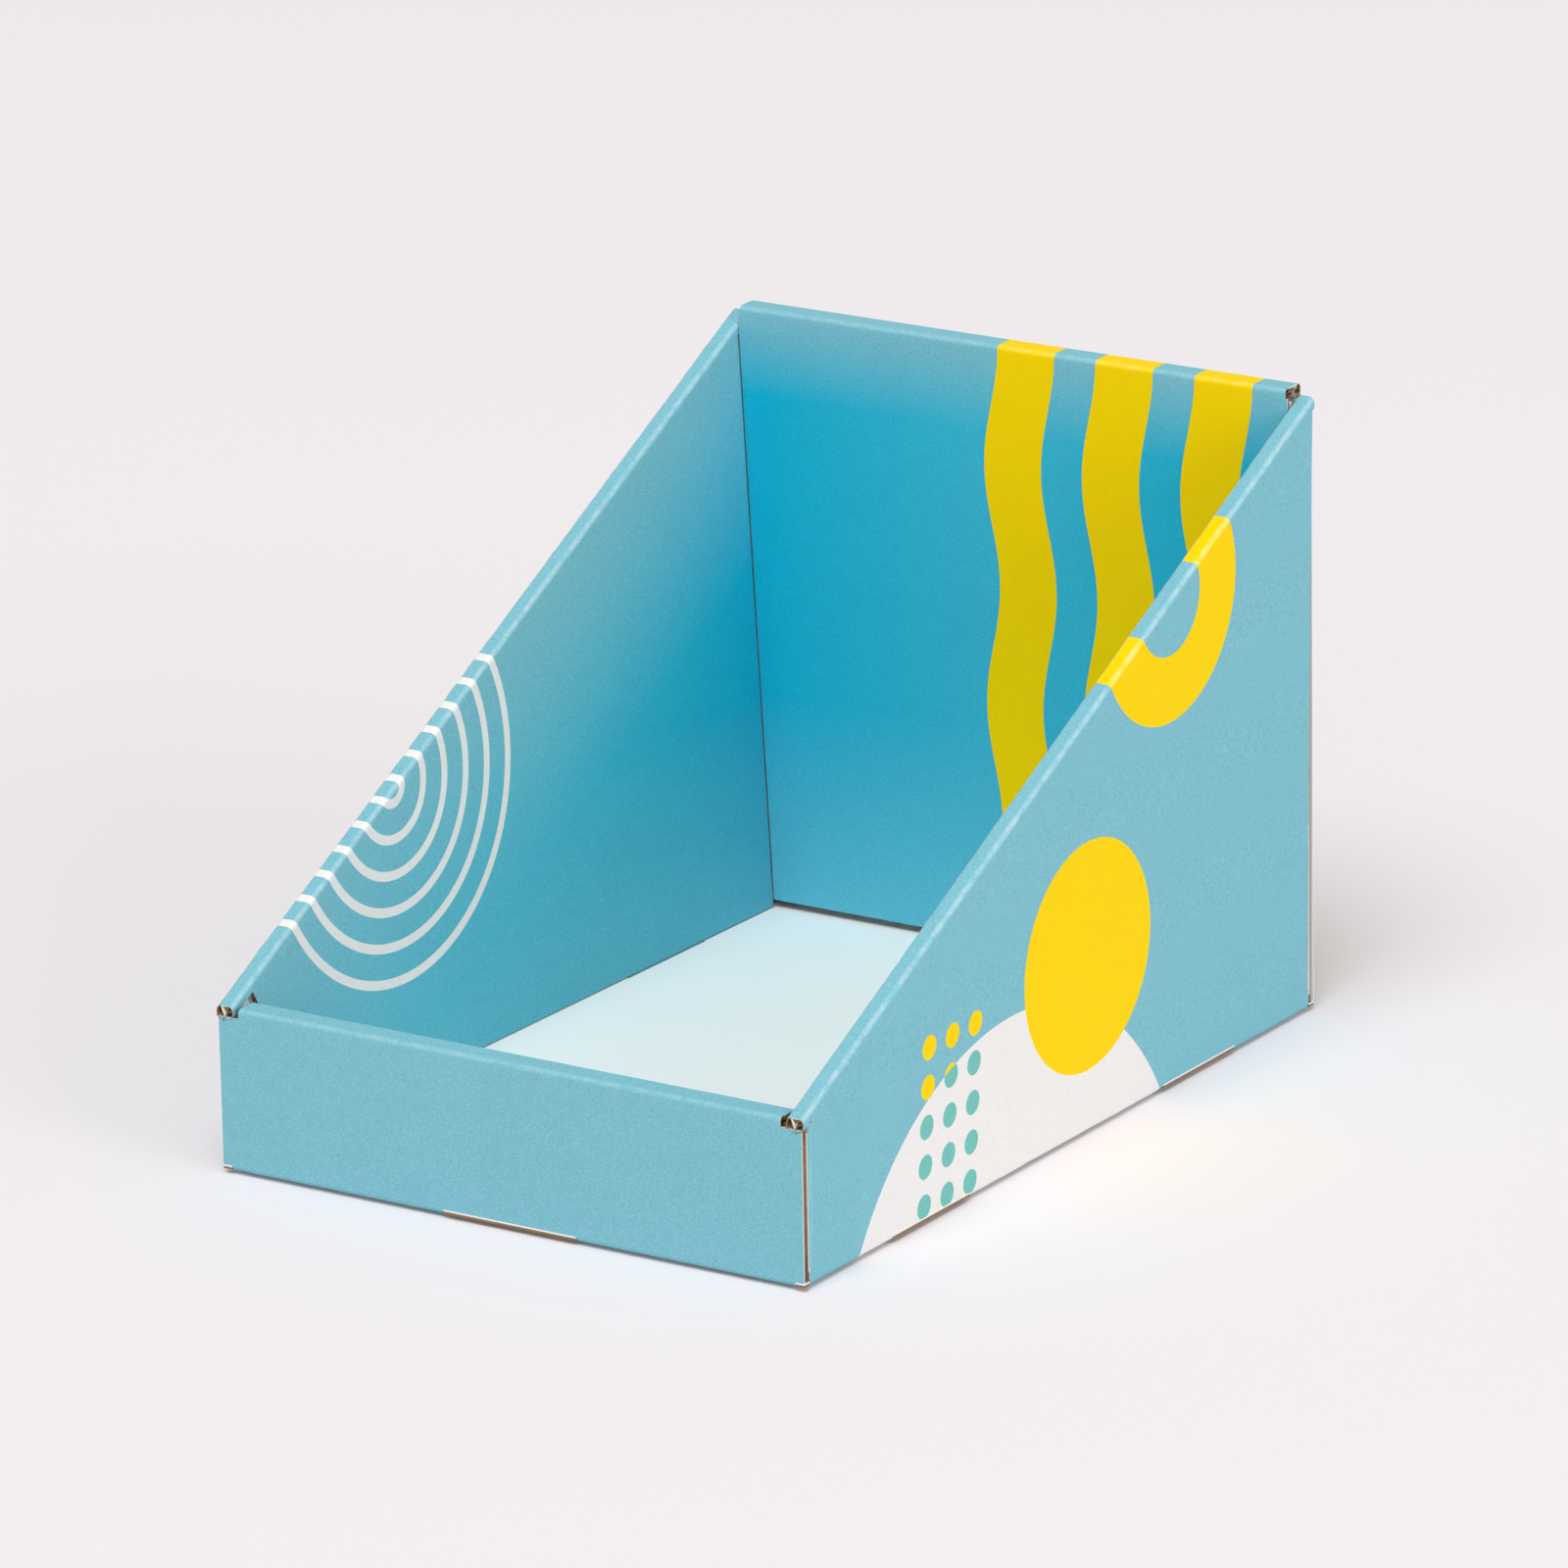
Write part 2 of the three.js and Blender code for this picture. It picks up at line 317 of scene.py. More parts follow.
def sheet_of(node, facing, flutes):
    """The largest face of a plate towards a side, read from a merged copy of its solid."""
    copy = bmesh.new()
    copy.from_mesh(frame["nodes"][node].data)
    bmesh.ops.remove_doubles(copy, verts=copy.verts, dist=MERGE)
    bmesh.ops.dissolve_limit(copy, angle_limit=FLAT, verts=copy.verts, edges=copy.edges)
    copy.normal_update()
    face = max(copy.faces, key=lambda face: face.normal.dot(facing) * face.calc_area())
    corners = [vert.co.copy() for vert in face.verts]
    normal = face.normal.copy()
    copy.free()
    return Sheet(corners, normal, (flutes - normal * flutes.dot(normal)).normalized())


def panel_sheet(node):
    """The printed side of a panel lies face down when its wall is folded out flat."""
    folded = laid_flat(BODY_OF[node]).inverted()
    return sheet_of(node, folded @ -UP, folded @ FLUTE_LINE)


def flap_sheet(node):
    """A dust flap turns its printed side to the wall in front of it."""
    middle = (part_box(node)[0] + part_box(node)[1]) / 2
    facing = Vector((0, math.copysign(1, middle.y), 0))
    return sheet_of(node, facing, Vector((1, 0, 0)))


def flap_hinge(node):
    """The upright crease between a side wall and one of its dust flaps."""
    wall = BODY_OF[node]
    sheet = panel_sheet(f"{wall.split('_')[0]}_outer_panel")
    end = math.copysign(1, flap_sheet(node).normal.y)
    low, high = sorted(sheet.corners, key=lambda corner: end * corner.y)[-2:]
    return Hinge(node, wall, wall, low, high - low, math.pi / 2)


class Fold:
    """The corner between two sheets, seen along the crease

    Local x leads away from the crease in the first sheet, and local y goes into its board.
    """

    def __init__(self, hinge, sheet, board):
        self.hinge = hinge
        self.away = sheet.away_from(hinge)
        self.inward = -sheet.normal
        self.along = self.away.cross(self.inward)
        self.turn = hinge.turn
        self.corner = math.pi - hinge.turn
        half = math.tan(self.corner / 2)
        self.tangent = board.crease_radius / half
        self.edge = self.tangent + 2 * board.hold
        self.inner = board.thickness / half
        self.reach = self.inner + self.tangent
        self.thickness = board.thickness
        self.second = Vector((math.cos(self.corner), math.sin(self.corner), 0))
        self.second_inward = Vector((math.sin(self.corner), -math.cos(self.corner), 0))

    def matrix(self):
        return placed(self.hinge.point, self.away, self.inward, self.along)

    def spans(self, sheet, layers=2):
        """Stretches where an edge of the sheet runs along the crease, within layers of board."""
        found = []
        for start, end in sheet.edges():
            path = (end - start).normalized()
            middle = (start + end) / 2
            near = (middle - self.hinge.foot(middle)).length < layers * self.thickness
            if near and abs(path.dot(self.along)) > PARALLEL:
                ends = [(point - self.hinge.point).dot(self.along) for point in (start, end)]
                found.append(sorted(ends))
        return sorted(found)

    def stops(self, sheet, layers=2):
        """The ends of those stretches."""
        return [stop for span in self.spans(sheet, layers) for stop in span]


# Board: liners, fluting and creases


def cut(shape, point, outward):
    """Cuts away what lies beyond a plane."""
    bmesh.ops.bisect_plane(
        shape,
        geom=shape.verts[:] + shape.edges[:] + shape.faces[:],
        dist=ON_PLANE,
        plane_co=point,
        plane_no=outward,
        clear_outer=True,
    )


def verts_in(items):
    return [item for item in items if isinstance(item, bmesh.types.BMVert)]


def draw_out(shape, vector):
    """Makes a flat shape a solid."""
    drawn = bmesh.ops.extrude_face_region(shape, geom=shape.faces[:], use_keep_orig=True)
    bmesh.ops.translate(shape, verts=verts_in(drawn["geom"]), vec=vector)
    bmesh.ops.recalc_face_normals(shape, faces=shape.faces[:])


def liner_of(sheet, depth, thickness, cuts, printed):
    """One flat liner: the sheet's outline at a depth, trimmed and given thickness."""
    liner = bmesh.new()
    liner.faces.new([liner.verts.new(corner - sheet.normal * depth) for corner in sheet.corners])
    if cuts:
        bmesh.ops.triangulate(liner, faces=liner.faces[:])
    for point, outward in cuts:
        cut(liner, point, outward)
    draw_out(liner, -sheet.normal * thickness)
    for face in liner.faces:
        on_top = printed and face.normal.dot(sheet.normal) > FACING
        face.material_index = PRINT if on_top else LINER
    return liner


def fluting_of(sheet, board, cuts):
    """The waved paper between the liners, cut to the sheet's outline."""
    across = sheet.flutes.cross(sheet.normal)
    middle = sheet.middle()
    reach = max((corner - middle).length for corner in sheet.corners)
    waves = math.ceil(2 * reach / board.flute_pitch)
    width = waves * board.flute_pitch
    fluting = bmesh.new()
    bmesh.ops.create_grid(
        fluting,
        x_segments=waves * board.flute_steps,
        y_segments=1,
        size=0.5,
        matrix=Matrix.Diagonal((width, 2 * reach, 1, 1)),
    )
    swing = (board.thickness - 2 * board.liner - board.flute_paper) / 2
    for vert in fluting.verts:
        vert.co.z = swing * math.cos(math.tau * vert.co.x / board.flute_pitch)
    depth = sheet.normal * (board.thickness / 2 - board.flute_paper / 2)
    lay = placed(middle - depth, across, sheet.flutes, sheet.normal)
    bmesh.ops.transform(fluting, matrix=lay, verts=fluting.verts)
    for start, end in sheet.edges():
        cut(fluting, start, (end - start).cross(sheet.normal))
    for point, outward in cuts:
        cut(fluting, point, outward)
    bmesh.ops.solidify(fluting, geom=fluting.faces[:], thickness=board.flute_paper)
    bmesh.ops.recalc_face_normals(fluting, faces=fluting.faces[:])
    for face in fluting.faces:
        face.material_index = KRAFT
        face.smooth = True
    return fluting


def add_part(piece, part):
    """Moves a finished part into a piece."""
    mesh = bpy.data.meshes.new("part")
    part.to_mesh(mesh)
    part.free()
    piece.from_mesh(mesh)
    bpy.data.meshes.remove(mesh)


def add_board(piece, sheet, board, trims=(), core=None):
    """A sheet of board: printed liner, fluting and white liner.

    Each trim is a point of a crease, the direction out over it, and how far the printed and the
    white liner stay short of it. The core is a smaller sheet for fluting with a plain outline.
    """
    printed = [(point - out * short, out) for point, out, short, _ in trims]
    reverse = [(point - out * short, out) for point, out, _, short in trims]
    add_part(piece, liner_of(sheet, 0, board.liner, printed, True))
    add_part(piece, fluting_of(core or sheet, board, printed))
    depth = board.thickness - board.liner
    add_part(piece, liner_of(sheet, depth, board.liner, reverse, False))


def crease_profile(fold, board, reaches, rooms):
    """The crushed board of a crease in section: round outside, sharp inside.

    The reaches are the lengths of its outer faces on both sheets, the rooms limit the inner ones.
    """
    reach_a, reach_b = reaches
    inner_x, inner_second = (min(fold.reach, room) for room in rooms)
    section = bmesh.new()

    def draw_to(vert, vector):
        drawn = bmesh.ops.extrude_vert_indiv(section, verts=[vert])
        bmesh.ops.translate(section, verts=drawn["verts"], vec=vector)
        return drawn["verts"][0]

    first = section.verts.new((reach_a, 0, 0))
    held = draw_to(first, (-board.hold, 0, 0))
    corner = draw_to(held, (fold.tangent - held.co.x, 0, 0))
    bent = bmesh.ops.spin(
        section,
        geom=[corner],
        cent=(fold.tangent, board.crease_radius, 0),
        axis=(0, 0, 1),
        angle=-fold.turn,
        steps=board.crease_steps,
    )
    last = verts_in(bent["geom_last"])[0]
    held = draw_to(last, fold.second * (reach_b - fold.tangent - board.hold))
    last = draw_to(held, fold.second * board.hold)
    outer = set(section.verts)
    path = [
        fold.second * inner_second + fold.second_inward * board.thickness,
        Vector((fold.inner, board.thickness, 0)),
        Vector((inner_x, board.thickness, 0)),
    ]
    if inner_second < fold.inner + 2 * board.liner:
        path.pop(0)
    if inner_x < fold.inner + 2 * board.liner:
        path.pop()
    inner = [last]
    for point in path:
        inner.append(draw_to(inner[-1], point - inner[-1].co))
    soft = [section.edges.get(pair) for pair in zip(inner[1:], inner[2:])]
    section.edges.new((inner[-1], first))
    bmesh.ops.subdivide_edges(section, edges=soft, cuts=INNER_CUTS)
    bmesh.ops.edgeloop_fill(section, edges=section.edges[:])
    section.normal_update()
    bmesh.ops.inset_individual(section, faces=section.faces[:], thickness=board.liner)
    for face in section.faces:
        face.material_index = LINER if len(outer.intersection(face.verts)) > 1 else KRAFT
    return section


def crease_part(fold, board, reaches, rooms, span, ends):
    """One unbroken stretch of a crease, with its ends cut along the given planes."""
    part = crease_profile(fold, board, reaches, rooms)
    bmesh.ops.translate(part, verts=part.verts, vec=(0, 0, span[0]))
    draw_out(part, (0, 0, span[1] - span[0]))
    rises = {edge: abs(edge.verts[0].co.z - edge.verts[1].co.z) for edge in part.edges}
    long_edges = [edge for edge, rise in rises.items() if rise > LENGTHWISE]
    steps = max(1, round((span[1] - span[0]) / board.crease_grain))
    bmesh.ops.subdivide_edges(part, edges=long_edges, cuts=steps - 1, use_grid_fill=True)
    for stop in (span[0] + board.hold, span[1] - board.hold):
        every = part.verts[:] + part.edges[:] + part.faces[:]
        bmesh.ops.bisect_plane(part, geom=every, plane_co=(0, 0, stop), plane_no=(0, 0, 1))
    part.normal_update()
    hollow = []
    for face in part.faces:
        if abs(face.normal.z) > FACING:
            if len(face.verts) > 4:
                hollow.append(face)
            continue
        facing = (face.normal.y, face.normal.dot(fold.second_inward))
        face.material_index = PRINT if max(facing) < INWARD else LINER
        face.smooth = True
    for face in hollow:
        sunk = bmesh.ops.extrude_discrete_faces(part, faces=[face])["faces"][0]
        bmesh.ops.translate(part, verts=sunk.verts, vec=-sunk.normal * board.thickness)
        for edge in sunk.edges:
            for wall in edge.link_faces:
                wall.material_index = KRAFT
    slope = ends.dot(fold.along)
    lean = Vector((ends.dot(fold.away), ends.dot(fold.inward), 0)) / slope
    for vert in part.verts:
        vert.co.z -= vert.co.x * lean.x + vert.co.y * lean.y
    bmesh.ops.transform(part, matrix=fold.matrix(), verts=part.verts)
    return part


def nearness(fold, point):
    """1 on the bend of a crease, falling to 0 where its flat faces start."""
    path = (point - fold.hinge.foot(point)).length
    bend = fold.tangent / math.sin(fold.corner / 2) - fold.tangent * math.tan(fold.corner / 2)
    return max(0.0, min(1.0, (fold.tangent - path) / (fold.tangent - bend)))


def roughen(piece, fold, board):
    """Lets the bend of a crease stand in and out a little, as crushed flutes do."""
    grain = 1 / board.flute_pitch
    closer, lower = FINE_LUMPS
    for vert in piece.verts:
        bend = nearness(fold, vert.co)
        if bend > 0:
            path = vert.co - fold.hinge.foot(vert.co)
            lump = noise.noise(vert.co * grain) + lower * noise.noise(vert.co * grain * closer)
            vert.co += path.normalized() * lump * board.crease_lump * bend


def object_of(context, name, shape, materials):
    """Makes the object of a finished shape."""
    mesh = bpy.data.meshes.new(name)
    shape.to_mesh(mesh)
    shape.free()
    for material in materials:
        mesh.materials.append(bpy.data.materials[material])
    made = bpy.data.objects.new(name, mesh)
    context.scene.collection.objects.link(made)
    return made


def finish_piece(context, name, piece, materials):
    """Makes the object of a piece, with the attributes that its print reads."""
    card = object_of(context, name, piece, materials)
    where = card.data.attributes.new(PLACE, "FLOAT_VECTOR", "POINT")
    for vert, item in zip(card.data.vertices, where.data):
        item.vector = vert.co
    card.data.attributes.new(WEAR_AND_HIGHLIGHT, "FLOAT", "POINT")
    return card


def mark_wear_and_highlight(card, fold, most):
    """Notes on each point of a crease how close it is to the bend, up to the most wear; the ink
    whitens there as wear and as a painted highlight.
    """
    for vert, item in zip(card.data.vertices, card.data.attributes[WEAR_AND_HIGHLIGHT].data):
        item.value = most * nearness(fold, vert.co)


def folds_round(node, sheet, board):
    """The folds of the frame that a panel has."""
    body = BODY_OF[node]
    return [
        Fold(hinge, sheet, board)
        for hinge in HINGES.values()
        if body in (hinge.parent, hinge.child)
    ]


def trim_at(fold, sheet):
    """Where a crease starts, as a trim of a panel's liners."""
    point = fold.hinge.foot(sheet.middle())
    width = max((corner - point).dot(fold.away) for corner in sheet.corners)
    reverse = fold.reach if width > 2 * fold.reach else fold.edge
    return (point, -fold.away, fold.edge, reverse)


def board_materials(node):
    """Print, liner and kraft of a panel."""
    wall = node.split("_")[0]
    if node == "base_panel" or node.endswith("flap"):
        return ("floor_print" if node == "base_panel" else "white_liner", "white_liner", "kraft")
    inside = "inner" in node or "tab" in node
    return (f"{wall}_{'lining' if inside else 'wall'}_print", "white_liner", "kraft")


def add_lips(piece, sheet, board, fold, held, trims, lift):
    """Strips at a panel's edge where no crease holds it, such as at a slot."""
    stops = fold.stops(sheet)
    bounds = [min(stops), *(stop for span in held for stop in span), max(stops)]
    for start, end in zip(bounds[::2], bounds[1::2]):
        if end - start < board.liner:
            continue
        rows = [(lift, None)]
        if lift:
            core = lift + board.torn_core
            rows = [(lift, KRAFT), (core, LINER), (core + board.torn_liner, None)]
        tops = [*(low for low, _ in rows[1:]), fold.edge]
        for (low, look), high in zip(rows, tops):
            outline = ((start, low), (end, low), (end, high), (start, high))
            corners = [
                fold.hinge.point + fold.along * run + fold.away * rise for run, rise in outline
            ]
            if fold.along.cross(fold.away).dot(sheet.normal) < 0:
                corners.reverse()
            strip = Sheet(corners, sheet.normal, sheet.flutes)
            if look is None:
                add_board(piece, strip, board, trims)
                continue
            torn = liner_of(strip, 0, board.thickness, (), False)
            for face in torn.faces:
                face.material_index = look
            add_part(piece, torn)


def make_panel(context, node, sheet, folds, core=None, held=(), trims=()):
    """A plate of the frame as a sheet of board, trimmed at the folds round it.

    Held gives, for a fold, the stretches where its crease holds the panel and the lift of the
    panel's cut edge between them.
    """
    board = context.scene.bin_board
    piece = bmesh.new()
    add_board(piece, sheet, board, [*trims, *(trim_at(fold, sheet) for fold in folds)], core)
    for fold, spans, lift in held:
        others = [trim_at(other, sheet) for other in folds if other is not fold]
        add_lips(piece, sheet, board, fold, spans, others, lift)
    card = finish_piece(context, f"{node}_card", piece, board_materials(node))
    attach(card, BODY_OF[node])
    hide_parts(node)


def make_crease(context, fold, spans, reaches, look, rooms=(math.inf, math.inf), ends=None):
    """A crease between two sheets, in one or more unbroken stretches.

    The look is its print, its slot in the record and how far its ink is worn and whitened, which is
    also a painted highlight on the bend.
    """
    board = context.scene.bin_board
    hinge = fold.hinge
    print_name, slot, wear = look
    piece = bmesh.new()
    for span in spans:
        add_part(piece, crease_part(fold, board, reaches, rooms, span, ends or fold.along))
    roughen(piece, fold, board)
    materials = (print_name, "white_liner", "kraft")
    card = finish_piece(context, f"{hinge.name}_crease", piece, materials)
    mark_wear_and_highlight(card, fold, wear)
    if hinge.parent == hinge.child:
        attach(card, hinge.parent)
    else:
        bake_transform(card)


def rectangle_round(sheet):
    """The four corners of the upright box round a sheet, in the sheet's own order."""
    xs = [corner.x for corner in sheet.corners]
    ys = [corner.y for corner in sheet.corners]
    z = sheet.corners[0].z
    loop = [(min(xs), min(ys)), (max(xs), min(ys)), (max(xs), max(ys)), (min(xs), max(ys))]
    if sheet.normal.z < 0:
        loop.reverse()
    return [Vector((x, y, z)) for x, y in loop]


def flap_folds(node, sheet, board):
    """The upright creases at a side wall's ends, with the stretch of each above the floor."""
    found = []
    for flap in BODIES[BODY_OF[node]]:
        if flap.endswith("flap"):
            fold = Fold(flap_hinge(flap), sheet, board)
            ends = fold.stops(sheet, 1)
            root = fold.stops(flap_sheet(flap))
            if fold.along.z > 0:
                span = (min(root) + board.flap_lift, max(ends))
            else:
                span = (min(ends), max(root) - board.flap_lift)
            found.append((fold, [span]))
    return found


# Materials

GROUND_SHADE, PRINT_SHADE = 0.65, 0.35  # the paper's shade in the ground, and in all the print
THIN_INK_AND_HIGHLIGHT, CRACKED_INK = 0.34, 0.85  # how much white shows through worn ink; the thin ink also paints the crease's highlight
PRINT_SPECK, PRINT_SPECKS = ink(60, 90, 100), 0.3  # colour and strength of specks in ink
PAPER_SPECK, PAPER_SPECKS = ink(120, 110, 96), 0.18  # the same in bare paper
PRINT_SPECULAR, PAPER_SPECULAR = 0.06, 0.1
FLOOR_BOUNCE_SHARE = 0.6  # share of the deeper ground at the floor: the lining is paler there, painted bounce light
FIBRES = (0.3, 1.2)  # lowest and highest value of the paper's height
RELIEF = 0.1 * MM  # height of the fibres in the bump

def tree_of(name):
    """An empty material with its shader, ready for nodes."""
    material = bpy.data.materials.new(name)
    material.use_nodes = True
    nodes = material.node_tree.nodes
    nodes.clear()
    shader = nodes.new("ShaderNodeBsdfPrincipled")
    output = nodes.new("ShaderNodeOutputMaterial")
    output.location = (300, 0)
    material.node_tree.links.new(shader.outputs["BSDF"], output.inputs["Surface"])
    return material, shader


class Wires:
    """Short ways to add nodes to one tree"""

    def __init__(self, tree):
        self.nodes = tree.nodes
        self.links = tree.links

    def feed(self, socket, value):
        if isinstance(value, bpy.types.NodeSocket):
            self.links.new(value, socket)
        elif value is not None:
            socket.default_value = value

    def add(self, kind, *values, **settings):
        """A new node with its settings, its first inputs fed in order."""
        node = self.nodes.new(f"ShaderNode{kind}")
        for name, value in settings.items():
            setattr(node, name, value)
        for socket, value in zip(node.inputs, values):
            self.feed(socket, value)
        return node

    def math(self, operation, first, second=None, clamp=False):
        return self.add("Math", first, second, operation=operation, use_clamp=clamp).outputs[0]

    def plus(self, first, second, clamp=False):
        return self.math("ADD", first, second, clamp)

    def minus(self, first, second):
        return self.math("SUBTRACT", first, second)

    def times(self, first, second, clamp=False):
        return self.math("MULTIPLY", first, second, clamp)

    def vector(self, operation, first, second=None):
        node = self.add("VectorMath", first, second, operation=operation)
        return node.outputs["Value" if operation in ("LENGTH", "DOT_PRODUCT") else "Vector"]

    def parts(self, vector):
        return self.add("SeparateXYZ", vector).outputs

    def joined(self, x, y, z=0.0):
        return self.add("CombineXYZ", x, y, z).outputs[0]

    def noise(self, vector, scale, detail, roughness):
        node = self.add("TexNoise", vector)
        for name, value in (("Scale", scale), ("Detail", detail), ("Roughness", roughness)):
            node.inputs[name].default_value = value
        return node.outputs["Fac"]

    def steps(self, value, low, high, start=0.0, end=1.0):
        return self.add("MapRange", value, low, high, start, end).outputs["Result"]

    def mix_shaders(self, share, first, second):
        return self.add("MixShader", share, first, second).outputs["Shader"]

    def mix(self, share, first, second, blend="MIX"):
        node = self.add("Mix", data_type="RGBA", blend_type=blend)
        for name, value in (("Factor_Float", share), ("A_Color", first), ("B_Color", second)):
            socket = next(item for item in node.inputs if item.identifier == name)
            plain = isinstance(value, (bpy.types.NodeSocket, float))
            self.feed(socket, value if plain else (*value, 1))
        return next(item for item in node.outputs if item.identifier == "Result_Color")

    def attribute(self, name):
        return self.add("Attribute", attribute_name=name).outputs

    def group(self, name, **values):
        node = self.add("Group", node_tree=bpy.data.node_groups[name])
        for socket, value in values.items():
            self.feed(node.inputs[socket.replace("_", " ").title()], value)
        return node.outputs


def group_tree(name, inputs, outputs):
    """A new node group with its sockets: returns its wires, its inputs and its output node."""
    tree = bpy.data.node_groups.new(name, "ShaderNodeTree")
    for side, sockets in (("INPUT", inputs), ("OUTPUT", outputs)):
        for socket in sockets:
            kind = "Vector" if socket in ("Place", "Centre") else "Float"
            tree.interface.new_socket(socket, in_out=side, socket_type=f"NodeSocket{kind}")
    entry = tree.nodes.new("NodeGroupInput")
    exit_node = tree.nodes.new("NodeGroupOutput")
    return Wires(tree), entry.outputs, exit_node.inputs


def make_paper_group():
    """Paper under ink: cloudy mottle, fine grain, a few specks, and the height of its fibres."""
    wires, entry, out = group_tree(
        "Paper Grain", ("Place", "Mottle", "Grain"), ("Shade", "Specks", "Height")
    )
    clouds = wires.noise(entry["Place"], scale=55, detail=4, roughness=0.6)
    mottle = wires.noise(entry["Place"], scale=420, detail=3, roughness=0.65)
    fine = wires.noise(entry["Place"], scale=1700, detail=2, roughness=0.6)
    blotch = wires.plus(wires.times(clouds, 0.4), wires.times(mottle, 0.6))
    soft = wires.times(wires.minus(blotch, 0.5), entry["Mottle"])
    sharp = wires.times(wires.minus(fine, 0.5), entry["Grain"])
    wires.feed(out["Shade"], wires.plus(wires.plus(soft, sharp), 1.0))
    speckle = wires.noise(entry["Place"], scale=760, detail=0, roughness=0.5)
    wires.feed(out["Specks"], wires.steps(speckle, 0.868, 0.885))
    drawn = wires.vector("MULTIPLY", entry["Place"], (1, 2.2, 1))
    fibres = wires.noise(drawn, scale=1100, detail=3, roughness=0.6)
    wires.feed(out["Height"], wires.plus(fibres, wires.times(mottle, 0.5)))


def make_wear_and_highlight_group():
    """Ink that thins and cracks over the bend of a crease, whitening it as wear and as a painted
    highlight.
    """
    wires, entry, out = group_tree("Crease Wear", ("Place", "Wear"), ("Thin", "Cracks"))
    patches = wires.noise(entry["Place"], scale=230, detail=3, roughness=0.65)
    thin = wires.times(entry["Wear"], wires.steps(patches, 0.36, 0.64, 0.12, 1.0))
    wires.feed(out["Thin"], thin)
    flakes = wires.noise(entry["Place"], scale=850, detail=4, roughness=0.7)
    limit = wires.steps(entry["Wear"], 0.75, 1.0, 0.9, 0.62)
    cracks = wires.minus(flakes, limit)
    wires.feed(out["Cracks"], wires.times(cracks, 14, clamp=True))


def make_band_group():
    """Where a value lies within half a width of a middle: 1 inside, 0 outside, soft between."""
    wires, entry, out = group_tree(
        "Printed Band", ("Value", "Middle", "Half Width", "Edge"), ("Mask",)
    )
    off = wires.math("ABSOLUTE", wires.minus(entry["Value"], entry["Middle"]))
    room = wires.minus(entry["Half Width"], off)
    mask = wires.plus(wires.math("DIVIDE", room, entry["Edge"]), 0.5, clamp=True)
    wires.feed(out["Mask"], mask)


def make_distance_group():
    """Distance from a point, seen from the side of the bin."""
    wires, entry, out = group_tree("Side Distance", ("Place", "Centre"), ("Distance",))
    path = wires.vector("SUBTRACT", entry["Place"], entry["Centre"])
    flat = wires.vector("MULTIPLY", path, (0, 1, 1))
    wires.feed(out["Distance"], wires.vector("LENGTH", flat))


def band(wires, inks, value, middle, width):
    """Mask of one printed band."""
    return wires.group(
        "Printed Band", value=value, middle=middle, half_width=width / 2, edge=inks.edge
    )["Mask"]


def round_band(wires, inks, where, centre, middle, width):
    """Mask of a ring or a disc on a side wall."""
    far = wires.group("Side Distance", place=where, centre=(0, *centre))["Distance"]
    return band(wires, inks, far, middle, width)


def repeated(wires, inks, value, pitch, number):
    """Distance to the nearest of evenly spaced figures, and a mask of the stretch they fill."""
    nearest = wires.math("PINGPONG", value, pitch / 2)
    return nearest, band(wires, inks, value, pitch * (number - 1) / 2, pitch * number)


def white_rings(wires, inks, where, paint):
    """Evenly spaced white rings."""
    far = wires.group("Side Distance", place=where, centre=(0, *inks.ring_centre))["Distance"]
    from_first = wires.minus(far, inks.ring_radius)
    nearest = wires.math("PINGPONG", from_first, inks.ring_pitch / 2)
    stroke = band(wires, inks, nearest, 0.0, inks.ring_stroke)
    outermost = inks.ring_radius + inks.ring_pitch * (inks.ring_count - 0.5)
    inside = wires.math("LESS_THAN", far, outermost)
    return wires.mix(wires.times(stroke, inside), paint, inks.white)


def wavy_stripes(wires, inks, where, paint):
    """Upright yellow stripes that sway from side to side."""
    across, _, height = wires.parts(where)
    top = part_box("back_rim_strip")[1].z
    turn = wires.times(wires.minus(height, top), math.tau / inks.stripe_wave)
    sway = wires.times(wires.math("COSINE", turn), inks.stripe_sway)
    run = wires.minus(wires.minus(across, sway), inks.stripe_start)
    nearest, within = repeated(wires, inks, run, inks.stripe_pitch, inks.stripe_count)
    stripe = band(wires, inks, nearest, 0.0, inks.stripe_width)
    return wires.mix(wires.times(stripe, within), paint, inks.yellow)


def yellow_hoop(wires, inks, where, paint):
    """A broad yellow ring that crosses the rim."""
    mask = round_band(wires, inks, where, inks.hoop_centre, inks.hoop_radius, inks.hoop_width)
    return wires.mix(mask, paint, inks.yellow)


def hill_and_dots(wires, inks, where, paint):
    """A white hill, a grid of dots that change colour on it, and a yellow disc."""
    hill = round_band(wires, inks, where, inks.hill_centre, 0.0, 2 * inks.hill_radius)
    paint = wires.mix(hill, paint, inks.white)
    _, along, height = wires.parts(where)
    rise = wires.minus(height, inks.dot_start[1])
    lean = wires.times(rise, inks.dot_lean)
    run = wires.minus(wires.minus(along, inks.dot_start[0]), lean)
    near_run, columns = repeated(wires, inks, run, inks.dot_pitch[0], inks.dot_columns)
    near_rise, rows = repeated(wires, inks, rise, inks.dot_pitch[1], inks.dot_rows)
    far = wires.vector("LENGTH", wires.joined(near_run, near_rise))
    dots = band(wires, inks, far, 0.0, 2 * inks.dot_radius)
    dots = wires.times(wires.times(dots, columns), rows)
    dot_ink = wires.mix(hill, inks.yellow, inks.teal)
    paint = wires.mix(dots, paint, dot_ink)
    disc = round_band(wires, inks, where, inks.disc_centre, 0.0, 2 * inks.disc_radius)
    return wires.mix(disc, paint, inks.yellow)


